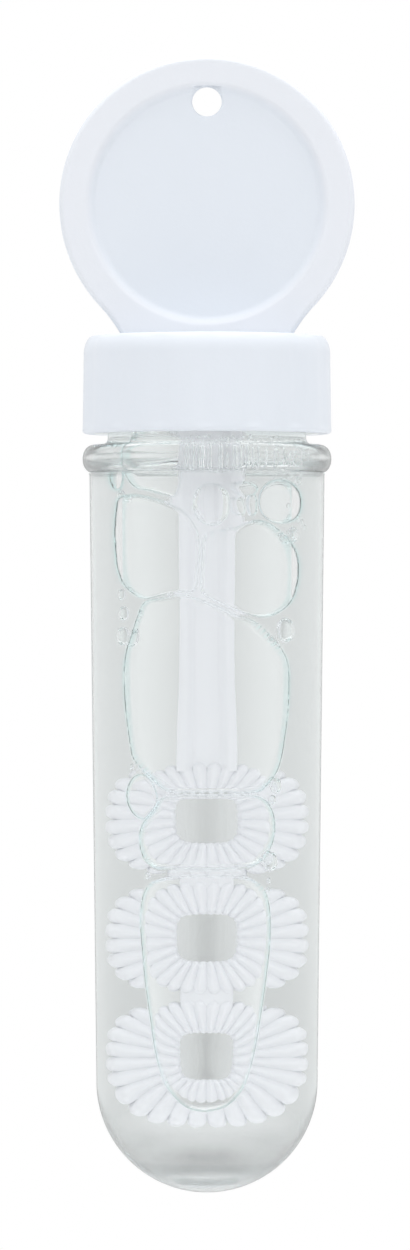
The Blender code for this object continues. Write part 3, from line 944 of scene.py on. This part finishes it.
# %% The cells' outlines
CELLS = {
    "left": {"level": (-2.0, -2.2), "edge": 0.35, "bowl": 5.0, "seen": [
        (-8.81, -40.34), (-7.6, -39.98), (-5.78, -40.24), (-3.95, -40.85), (-2.33, -41.76),
        (-1.22, -43.18), (-0.81, -44.9), (-0.86, -46.92), (-1.11, -49.05), (-1.72, -49.66),
        (-2.94, -49.66), (-4.76, -49.96), (-6.28, -50.27), (-7.5, -49.71), (-8.41, -48.65),
        (-8.97, -47.03), (-9.19, -44.9), (-9.22, -42.97), (-9.07, -41.35),
    ]},
    "right": {"level": (-2.0, -2.2), "edge": 0.35, "bowl": 5.0, "seen": [
        (-0.3, -44.39), (0.91, -43.68), (2.74, -43.33), (4.05, -42.82), (5.07, -42.57), (6.18, -42.82),
        (7.4, -43.68), (8.41, -44.85), (8.97, -45.91), (9.17, -47.13), (9.02, -48.85), (8.41, -50.57),
        (7.09, -51.74), (5.67, -52.09), (4.36, -51.89), (2.94, -51.38), (0.81, -50.47), (-0.41, -49.66),
        (-0.51, -47.94), (-0.41, -46.11),
    ]},
    "middle": {"level": (-2.2, -2.5), "edge": 0.35, "bowl": 5.0, "seen": [
        (-6.28, -50.77), (-4.76, -50.37), (-2.53, -50.01), (-1.22, -50.32), (0.81, -51.08),
        (2.94, -52.04), (4.56, -52.6), (5.67, -53.51), (6.79, -54.73), (7.8, -56.04), (8.16, -57.36),
        (8.21, -58.98), (8.11, -61.51), (7.8, -64.05), (7.4, -66.38), (6.89, -67.8), (5.98, -69.01),
        (4.86, -69.67), (0.81, -69.72), (-2.94, -69.72), (-4.36, -69.32), (-5.47, -68.4), (-6.59, -67.29),
        (-7.4, -66.17), (-7.7, -64.76), (-7.97, -62.83), (-8.14, -61.21), (-8.28, -59.18),
        (-8.28, -57.16), (-8.05, -55.64), (-7.6, -54.22), (-6.99, -52.29),
    ]},
    "lobe": {"level": (-4.6, -4.6), "edge": 0.5, "bowl": 4.0, "seen": [
        (-7.29, -68.25), (-6.48, -68.0), (-5.67, -68.61), (-5.17, -69.72), (-5.07, -70.73),
        (-5.67, -71.65), (-6.38, -72.41), (-7.29, -71.95), (-7.85, -71.04), (-8.0, -70.02),
        (-7.8, -69.01),
    ]},
    "low": {"level": (-2.5, -2.5), "edge": 0.35, "bowl": 5.0, "seen": [
        (-4.56, -70.43), (-2.94, -70.13), (0.81, -70.08), (4.36, -70.13), (5.57, -70.43), (6.28, -71.14),
        (6.69, -72.25), (6.79, -73.47), (6.56, -74.69), (5.98, -75.9), (5.07, -76.81), (3.65, -77.27),
        (-0.2, -77.37), (-4.26, -77.37), (-5.27, -77.22), (-6.08, -76.61), (-6.53, -75.75),
        (-6.76, -74.58), (-6.66, -73.57), (-6.18, -72.56), (-5.27, -71.54),
    ]},
    "finger": {"level": (-2.5, -3.0), "edge": 0.35, "bowl": 5.0, "seen": [
        (-4.76, -78.59), (-2.74, -78.18), (0.1, -78.13), (2.94, -78.18), (4.56, -78.59), (5.57, -79.45),
        (6.08, -80.56), (6.31, -82.39), (6.28, -84.82), (5.98, -87.65), (5.42, -91.71), (4.66, -95.96),
        (3.65, -99.2), (2.33, -101.23), (1.01, -101.99), (-0.41, -102.24), (-1.93, -101.8),
        (-3.24, -100.42), (-4.41, -98.29), (-5.17, -95.56), (-5.62, -92.52), (-6.18, -88.57),
        (-6.52, -84.72), (-6.66, -82.39), (-6.43, -80.36), (-5.78, -79.04),
    ]},
    "neck": {"level": (-2.6, -2.6), "edge": 0.35, "bowl": 5.0, "seen": [
        (-8.1, -34.6), (-7.2, -33.5), (-5.5, -33.3), (-3.8, -33.5), (-2.75, -34.8), (-2.63, -37.3),
        (-2.74, -38.82), (-3.34, -40.03), (-4.76, -39.78), (-5.98, -39.43), (-7.19, -39.12),
        (-8.0, -38.11), (-8.31, -36.79),
    ]},
    "round": {"level": (-7.2, -7.2), "edge": 1.7, "bowl": 0, "seen": [
        (0.41, -38.87), (1.32, -39.12), (1.98, -39.83), (2.18, -40.85), (1.98, -41.96), (1.32, -42.72),
        (0.41, -42.97), (-0.51, -42.67), (-1.11, -41.86), (-1.32, -40.85), (-1.11, -39.83),
        (-0.51, -39.12),
    ]},
    "corner": {"level": (-3.0, -3.0), "edge": 0.5, "bowl": 4.0, "seen": [
        (7.4, -38.46), (8.41, -38.82), (9.17, -39.63), (9.42, -40.64), (9.17, -41.76), (8.41, -42.47),
        (7.4, -42.72), (6.28, -42.42), (5.52, -41.66), (5.27, -40.64), (5.52, -39.53), (6.28, -38.77),
    ]},
    "neck_side": {"level": (-4.0, -4.0), "edge": 0.5, "bowl": 0, "seen": [
        (-9.65, -37.3), (-9.1, -36.9), (-8.6, -37.3), (-8.55, -38.4), (-8.85, -39.25), (-9.4, -39.1),
        (-9.7, -38.3),
    ]},
    "facet_top": {"level": (-7.6, -7.6), "edge": 0.9, "bowl": 0, "seen": [
        (2.5, -39.1), (3.4, -38.75), (4.5, -38.9), (5.05, -39.4), (4.4, -40.0), (3.2, -39.9),
    ]},
    "facet_low": {"level": (-7.7, -7.7), "edge": 0.9, "bowl": 0, "seen": [
        (2.45, -40.5), (3.3, -40.35), (3.75, -41.2), (3.6, -41.9), (2.8, -41.8), (2.4, -41.2),
    ]},
    "facet_side": {"level": (-7.4, -7.4), "edge": 0.8, "bowl": 0, "seen": [
        (4.2, -40.2), (4.75, -39.95), (4.95, -40.8), (4.85, -41.8), (4.35, -41.9), (4.05, -41.0),
    ]},
}
AIR = [
    (-6.5, -32.0), (-8.6, -33.5), (-8.8, -36.5), (-9.0, -40.3), (-9.3, -43.0), (-9.3, -44.9),
    (-9.05, -47.0), (-8.5, -48.7), (-7.8, -50.4), (-7.5, -52.3), (-7.8, -54.2), (-8.3, -57.2),
    (-8.35, -59.2), (-8.1, -62.8), (-7.6, -66.2), (-8.0, -68.3), (-8.15, -70.0), (-7.6, -72.0),
    (-7.0, -74.6), (-6.5, -77.5), (-6.6, -80.4), (-6.75, -82.4), (-6.6, -84.7), (-6.25, -88.6),
    (-5.7, -92.5), (-5.2, -95.6), (-4.5, -98.3), (-3.3, -100.45), (-1.95, -101.85), (-0.41, -102.3),
    (1.05, -102.05), (2.4, -101.3), (3.7, -99.25), (4.75, -96.0), (5.5, -91.7), (6.05, -87.7),
    (6.35, -84.8), (6.45, -82.4), (6.3, -79.9), (6.35, -77.5), (6.75, -75.0), (6.85, -73.5),
    (6.75, -70.5), (7.2, -67.8), (7.6, -66.4), (7.95, -64.0), (8.2, -61.5), (8.3, -59.0), (8.2, -57.2),
    (8.0, -55.6), (7.9, -53.4), (8.5, -50.6), (9.1, -48.9), (9.3, -47.1), (9.2, -45.0), (9.3, -43.0),
    (9.5, -40.6), (9.2, -38.5), (9.0, -36.0), (8.6, -33.5), (6.5, -32.0), (0.0, -31.8),
]
print(len(CELLS), "cells")

# %% [markdown]
# The solution
#
# The solution's skin is a grid of angle and height, like the tube's, but reaching a tenth of a millimetre
# into the wall. A ray then enters the solution before it leaves the plastic, so no false sliver of air
# shines between them. A Boolean could cut the cells out of a plain body, but it would leave long thin faces
# that bend light badly. A grid stays even, finer towards the front, and finer again where films cross it.

# %% The solution's grid
WET = 0.1
TOP_Z = hem_z + 0.6
front = np.radians(np.linspace(-76, 76, 241))
rear = np.radians(np.linspace(76, 284, 36))[1:-1]
around = np.concatenate([front, rear])


def row_heights(low, high, fine, coarse, busy):
    """Heights from low to high: a fine step in the busy stretches and a coarse one elsewhere."""
    z = np.linspace(low, high, 4001)
    near = np.zeros_like(z)
    for a, b in busy:
        near = np.maximum(near, smooth(z, a - 0.8, a) * (1 - smooth(z, b, b + 0.8)))
    density = 1 / (coarse + (fine - coarse) * near)
    count = np.concatenate([[0], np.cumsum((density[1:] + density[:-1]) / 2 * np.diff(z))])
    return np.interp(np.linspace(0, count[-1], int(count[-1])), count, z)


busy = [(-102.6, -101.4), (-78.6, -77.0), (-72.4, -68.2), (-52.6, -49.2), (-43.2, -38.6)]
straight_z = row_heights(round_z, TOP_Z, 0.14, 0.42, busy)
FINE_Z = -102.6
skin_reach = bore_r_low + WET
low_z = bore_end(skin_reach, 48)[::-1, 1]
end_z = np.concatenate([low_z[low_z < FINE_Z - 0.1], np.arange(FINE_Z, round_z - 0.05, 0.12)])
heights = np.concatenate([end_z, straight_z])
skin_end = (skin_reach ** END_POWER - np.abs(end_z - round_z) ** END_POWER) ** (1 / END_POWER)
wall = np.concatenate([skin_end, bore_radius(straight_z) + WET])
print("Grid:", len(heights), "rows,", len(around), "columns")

# %% [markdown]
# The air in the solution
#
# Under a cell the skin drops back to the cell's level, over a rounded edge, and points beside the outline
# move onto it so that it's crisp. All this goes by distance from the outline. That's the least distance to
# its short sides, and its sign comes from counting how often a line to the left crosses them.
#
# The skin also keeps how near each point is to an outline. With it the finish paints a blue-green line of
# shade: painted shade for the light that the steep edge of the solution bends away.

# %% Let the air in
def to_curve(places, curve):
    """The nearest points on a closed curve, and the distance to them, positive inside it."""
    a, b = curve, np.roll(curve, -1, axis=0)
    along = b - a
    share = np.clip(((places[:, None] - a) * along).sum(-1) / (along ** 2).sum(-1), 0, 1)
    spots = a + share[..., None] * along
    gaps = np.linalg.norm(places[:, None] - spots, axis=-1)
    nearest = gaps.argmin(axis=1)
    row = np.arange(len(places))
    z = places[:, None, 1]
    spans = (a[:, 1] > z) != (b[:, 1] > z)
    rise = np.where(np.abs(along[:, 1]) < 1e-9, 1e-9, along[:, 1])
    cross_x = a[:, 0] + (z - a[:, 1]) / rise * along[:, 0]
    odd = (spans & (places[:, None, 0] < cross_x)).sum(axis=1) % 2
    return spots[row, nearest], np.where(odd == 1, 1, -1) * gaps[row, nearest]


def rounded_edge(t):
    """A quarter of a circle: 0 at t = 0 and 1 from t = 1 on, square root of 1 - (1 - t)^2."""
    return np.sqrt(1 - (1 - np.clip(t, 0, 1)) ** 2)


seen_angle, height = np.meshgrid(around, heights)
wet_r = np.broadcast_to(wall[:, None], height.shape)
x = wet_r * np.sin(seen_angle)
y = -wet_r * np.cos(seen_angle)
z = height.copy()
line = np.zeros_like(x)
LINE_WIDTH = 0.09
WIDER_ASIDE = 0.16
SNAP = 0.06
MARGIN = 0.5
in_front = np.abs(seen_angle) < np.radians(80)
air = on_bore(AIR)
for name, cell in CELLS.items():
    outline = on_bore(cell["seen"])
    low, high = outline.min(axis=0), outline.max(axis=0)
    near = in_front & (x > low[0] - MARGIN) & (x < high[0] + MARGIN)
    near &= (z > low[1] - MARGIN) & (z < high[1] + MARGIN)
    places = np.column_stack([x[near], z[near]])
    spots, distance = to_curve(places, outline)
    off_middle = np.abs(places[:, 0])
    # The line of painted shade is stronger off the middle and near the round end, and wider at the sides.
    strength = 0.25 + 0.75 * np.maximum(smooth(off_middle, 3.0, 5.0), smooth(-places[:, 1], 97.0, 99.5))
    width = LINE_WIDTH + WIDER_ASIDE * smooth(off_middle, 6.6, 7.8)
    line[near] = np.maximum(line[near], strength * np.exp(-(distance / width) ** 2))
    inside = distance > -SNAP
    snapped = np.abs(distance) < SNAP
    places = np.where(snapped[:, None], spots, places)[inside]
    distance = np.where(snapped, 0, distance)[inside]
    share = np.clip((high[1] - places[:, 1]) / (high[1] - low[1]), 0, 1)
    level = cell["level"][0] + (cell["level"][1] - cell["level"][0]) * share
    bowl = rounded_edge(distance / cell["edge"])
    if cell["bowl"]:
        from_air = np.maximum(to_curve(places, air)[1], 0) + 0.02
        nose = smooth(-places[:, 1], 96.0, 100.0)
        wide = rounded_edge(from_air / (cell["bowl"] * (1 - 0.5 * nose)))
        bowl = (np.maximum(bowl, 1e-3) ** -4 + wide ** -4 - 1) ** -0.25
    y_wall = -np.sqrt(np.maximum(bore_radius(places[:, 1]) ** 2 - places[:, 0] ** 2, 0))
    spot = tuple(index[inside] for index in np.nonzero(near))
    x[spot], z[spot] = places[:, 0], places[:, 1]
    y[spot] = y_wall + np.maximum(level - y_wall, 0) * bowl
    print(f"{name}: {snapped.sum()} points on its outline")

# %% [markdown]
# Small bubbles
#
# Where the cells meet the wall, small bubbles hang in chains, and foam fills the neck. Each is a hollow in
# the solution: a squeezed ball whose faces look inwards, just behind the wall. A particle system could
# scatter them, but it would put them anywhere. They're all made at once, as one stack of little grids.

# %% Small bubbles
ALONG_WALL = 0.75
OFF_WALL = 0.6


def hollows(seen, rows, columns, gap=0.06):
    """Bubbles against the wall, seen at (across, height, radius), as one shell with inward faces.

    A unit ball, (cos a cos b, cos a sin b, sin a), is squeezed along the wall, since the wall magnifies
    that way, and more away from it, since a bubble spreads on a wall.
    """
    a = np.radians(np.linspace(-80, 80, rows))[:, None]
    b = np.arange(columns) * 2 * np.pi / columns
    ball = np.stack([np.cos(a) * np.cos(b), np.cos(a) * np.sin(b), np.sin(a) + 0 * b], axis=-1)
    points, faces = facing(grid_shell(ball, (0, 0, -1), (0, 0, 1)), hollow=True)
    angle, radius = bore_angle(seen[:, 0], seen[:, 1]), seen[:, 2]
    zero, one = np.zeros_like(angle), np.ones_like(angle)
    axes = np.stack([
        np.stack([ALONG_WALL * np.cos(angle), ALONG_WALL * np.sin(angle), zero], axis=-1),
        np.stack([-OFF_WALL * np.sin(angle), OFF_WALL * np.cos(angle), zero], axis=-1),
        np.stack([zero, zero, one], axis=-1),
    ], axis=1)
    depth = bore_radius(seen[:, 1]) - OFF_WALL * radius - gap
    centres = np.column_stack([depth * np.sin(angle), -depth * np.cos(angle), seen[:, 1]])
    spread = np.einsum("pk,bkc->bpc", points, axes) * radius[:, None, None]
    shift = np.arange(len(seen))[:, None, None] * len(points)
    return (centres[:, None] + spread).reshape(-1, 3), [
        (group[None] + shift).reshape(-1, group.shape[1]) for group in faces
    ]


chains = np.array([
    (-8.85, -49.9, 0.56), (-8.75, -51.8, 0.74), (-8.95, -54.1, 0.95), (8.55, -53.5, 1.25),
    (8.9, -43.9, 0.42), (9.0, -41.0, 0.30), (9.0, -39.0, 0.34), (7.25, -69.1, 0.80),
    (6.75, -70.5, 0.50), (6.75, -76.7, 1.00), (6.3, -78.6, 0.30), (6.2, -79.5, 0.26),
    (-7.7, -67.2, 0.30), (-6.1, -78.1, 0.38), (-9.0, -40.0, 0.62), (9.1, -43.9, 0.80),
    (9.5, -38.4, 0.50), (9.7, -37.6, 0.36), (9.3, -42.2, 0.36), (9.75, -42.6, 0.32), (10.0, -43.1, 0.26),
    (9.35, -36.9, 0.40), (8.7, -37.9, 0.34), (9.95, -36.5, 0.40), (7.9, -37.6, 0.30), (8.3, -43.6, 0.24),
])
chance = np.random.default_rng(7)
foam_x, foam_z = np.meshgrid(np.arange(-2.2, 10.4, 0.62), np.arange(-37.3, -34.2, 0.60))
foam = np.column_stack([foam_x.ravel(), foam_z.ravel()])
foam += chance.uniform(-0.14, 0.14, foam.shape)
foam = np.column_stack([foam, chance.uniform(0.13, 0.34, len(foam))])
foam = foam[chance.uniform(size=len(foam)) < 0.8]
chain_shell = hollows(chains, 12, 22)
foam_shell = hollows(foam, 7, 14)
print(len(chains), "bubbles in chains and", len(foam), "in the foam")

# %% [markdown]
# One body of solution
#
# The skin, the chains and the foam are one mesh, because they're the surfaces of one liquid. A vertex
# attribute carries the painted shade line's strength to the finish.

# %% Make the solution
solution_grid = np.stack([x, y, z], axis=-1)
low_tip = (0, 0, round_z - bore_r_low - WET)
solution_shell = facing(grid_shell(solution_grid, low_tip, (0, 0, TOP_Z)))
solution = mesh_object("solution", [solution_shell, chain_shell, foam_shell])
# The painted shade line's strength, kept on each point.
mark = solution.data.attributes.new("meniscus_shade_line", "FLOAT", "POINT")
values = np.zeros(len(solution.data.vertices), np.float32)
values[:line.size] = line.ravel()
mark.data.foreach_set("value", values)
finished(solution, solution_clear, "tube", "bubble_solution")

# %% [markdown]
# The surroundings
#
# The picture is a cut-out on white, with soft light from all round. An environment picture would give such
# light, but a few ramps do, and each kind of ray can have its own. The camera sees plain white. The clear
# tube shows it a little darker, since it shades its own backdrop, and darker still above, below and to the
# sides. A glancing reflection is dimmer.

# %% The surroundings
THROUGH = 0.885
AMBIENT = 0.72


def direction_light(recipe):
    """How bright the surroundings look through the clear pieces, by direction."""
    aside = recipe.ramp(recipe.along("X", "Generated").size(), 0.15, 0.40, 1.0, 0.955)
    upright = recipe.ramp(recipe.along("Z", "Generated").size(), 0.1, 0.9, 1.0, 0.86)
    return aside * upright * THROUGH


def grazing_light(recipe):
    """How bright they look in the gloss, by direction."""
    return recipe.ramp(recipe.along("Y", "Generated"), 0.92, 0.998, 1.0, 0.55)


world = bpy.data.worlds.new("studio")
bpy.context.scene.world = world
world.use_nodes = True
sky = Recipe(world.node_tree)
camera_ray = sky.node("LightPath", out="Is Camera Ray")
glossy_ray = sky.node("LightPath", out="Is Glossy Ray")
clear_ray = sky.node("LightPath", out="Is Transmission Ray")
soft = 1 - camera_ray - glossy_ray
mirrored = (glossy_ray - clear_ray) * grazing_light(sky)
strength = camera_ray + clear_ray * direction_light(sky) + mirrored + soft * AMBIENT
background = sky.node("Background", sockets={"Color": rgba(1, 1, 1), "Strength": strength})
sky.node("OutputWorld", sockets={"Surface": background})
print("World:", world.name)

# %% [markdown]
# Lamps
#
# Three soft lamps shape the white plastic: a key from the left, a weaker fill from the right, and one
# above, which brightens the deck's corner. A sun would make the shading hard. No lamp shows in a gloss or
# through the clear pieces, since the photograph has no such patches of light.

# %% Lamps
def lamp(name, place, aim, size, watts):
    """A square lamp that faces a point."""
    data = bpy.data.lights.new(name, "AREA")
    data.size = size
    data.energy = watts
    made = placed(name, data)
    made.location = place
    way = np.array(aim) - np.array(place)
    tilt = math.acos(-way[2] / np.linalg.norm(way))
    turn = math.atan2(way[1], way[0]) - math.pi / 2
    made.rotation_euler = (tilt, 0, turn)
    made.visible_glossy = False
    made.visible_transmission = False
    return made


middle = (0, 0, -0.053)
lamps = [
    lamp("key", (-0.70, -0.55, 0.45), middle, 0.5, 2.65),
    lamp("fill", (0.78, -0.50, 0.18), middle, 0.6, 2.2),
    lamp("top", (0.05, 0.02, 0.9), middle, 0.6, 6.0),
]
print("Lamps:", [made.name for made in lamps])

# %% [markdown]
# The floor
#
# A white sheet lies well below, so that the object is lit from beneath too. It fades out towards its edge,
# so that it never shows as a disc. A plain plane with a texture could fade as well, but a round grid has
# the fade's own shape.

# %% Floor
FLOOR_Z = -235.0
FLOOR_R = 450.0
floor_columns = 96
circles = np.linspace(20.0, FLOOR_R, 12)
floor_grid = turned(np.column_stack([circles, np.full(12, FLOOR_Z)]), floor_columns)
quads = grid_faces(*floor_grid.shape[:2])
sheet = [quads[:-1].reshape(-1, 4)[:, ::-1], quads[:1, :, 0]]
floor = mesh_object("floor", [(floor_grid.reshape(-1, 3), sheet)])
floor_paint, recipe = new_material("floor_white")
place = recipe.node("TexCoord", out="Object")
distance = recipe.node("VectorMath", {"operation": "LENGTH"}, {0: place}, out="Value")
paper = recipe.node("BsdfPrincipled", sockets={
    "Base Color": rgba(0.96, 0.96, 0.96),
    "Roughness": 0.9,
    "Alpha": recipe.ramp(distance, 0.3, 0.5, 1.0, 0.0),
})
recipe.end(paper)
floor.data.materials.append(floor_paint)
print("Floor:", len(floor.data.polygons), "faces")

# %% [markdown]
# The grey card
#
# Straight behind the tube the paper that it lies on is in its own shadow, most of all along the middle and
# towards the round end. The holes of the rings show that as a grey band. Real paper would need the light to
# find its way through bent glass, so a soft grey card does it here: a narrow upright plane, a little way
# behind, that only light through the clear pieces can see.

# %% The grey card
CARD_Y = 13.3
CARD_HALF = 12.0
CARD_LOW = -200.0
CARD_HIGH = -20.0
left, right = (-CARD_HALF, CARD_Y), (CARD_HALF, CARD_Y)
card_points = np.array([(*left, CARD_LOW), (*right, CARD_LOW), (*right, CARD_HIGH), (*left, CARD_HIGH)])
card = mesh_object("card", [(card_points, [np.array([(0, 1, 2, 3)])])])
card_grey, recipe = new_material("card_grey")
off_middle = recipe.along("X").size()
height = recipe.along("Z")
narrow = recipe.ramp(off_middle, 0.0, 2.4 * MM, 0.105, 0.0)
broad = recipe.ramp(off_middle, 2.0 * MM, 10.4 * MM, 0.245, 0.0, soft=False)
lower = recipe.ramp(height, -73.0 * MM, -97.0 * MM, 1.0, 1.45, soft=False)
fade = recipe.ramp(height, -101.8 * MM, -99.4 * MM, 0.0, 1.0)
clear = recipe.node("BsdfTransparent")
black = recipe.node("Emission", sockets={"Strength": 0.0})
mixed = recipe.node("MixShader", sockets={0: (narrow + broad) * lower * fade, 1: clear, 2: black})
recipe.end(mixed)
card.data.materials.append(card_grey)
card.visible_camera = False
card.visible_diffuse = False
card.visible_glossy = False
card.visible_shadow = False
print("Card:", card.name)

# %% [markdown]
# The camera
#
# The photograph shows hardly any perspective. An orthographic camera would show none at all, so a long lens
# stands well back instead. Light passes many surfaces in the clear pieces, and each needs a bounce.

# %% Camera and render settings
CAMERA_BACK = 0.70
CAMERA_PLACE = (-0.0002, -CAMERA_BACK, -0.0530)
PICTURE_ROWS = 1250
ROWS_PER_MM = 9.87
FRAME_HIGH = PICTURE_ROWS / ROWS_PER_MM * MM
BOUNCES = 96
lens = bpy.data.cameras.new("camera")
lens.sensor_width = 36.0
lens.lens = lens.sensor_width * CAMERA_BACK / FRAME_HIGH
lens.clip_start = 0.01
lens.clip_end = 20
camera = placed("camera", lens)
camera.location = CAMERA_PLACE
camera.rotation_euler = (math.pi / 2, 0, 0)
scene = bpy.context.scene
scene.camera = camera
scene.view_settings.view_transform = "Standard"
scene.cycles.max_bounces = BOUNCES
scene.cycles.transmission_bounces = BOUNCES
scene.cycles.glossy_bounces = BOUNCES
scene.cycles.transparent_max_bounces = 16
print(f"Lens {lens.lens:.0f} mm, {CAMERA_BACK} m away")
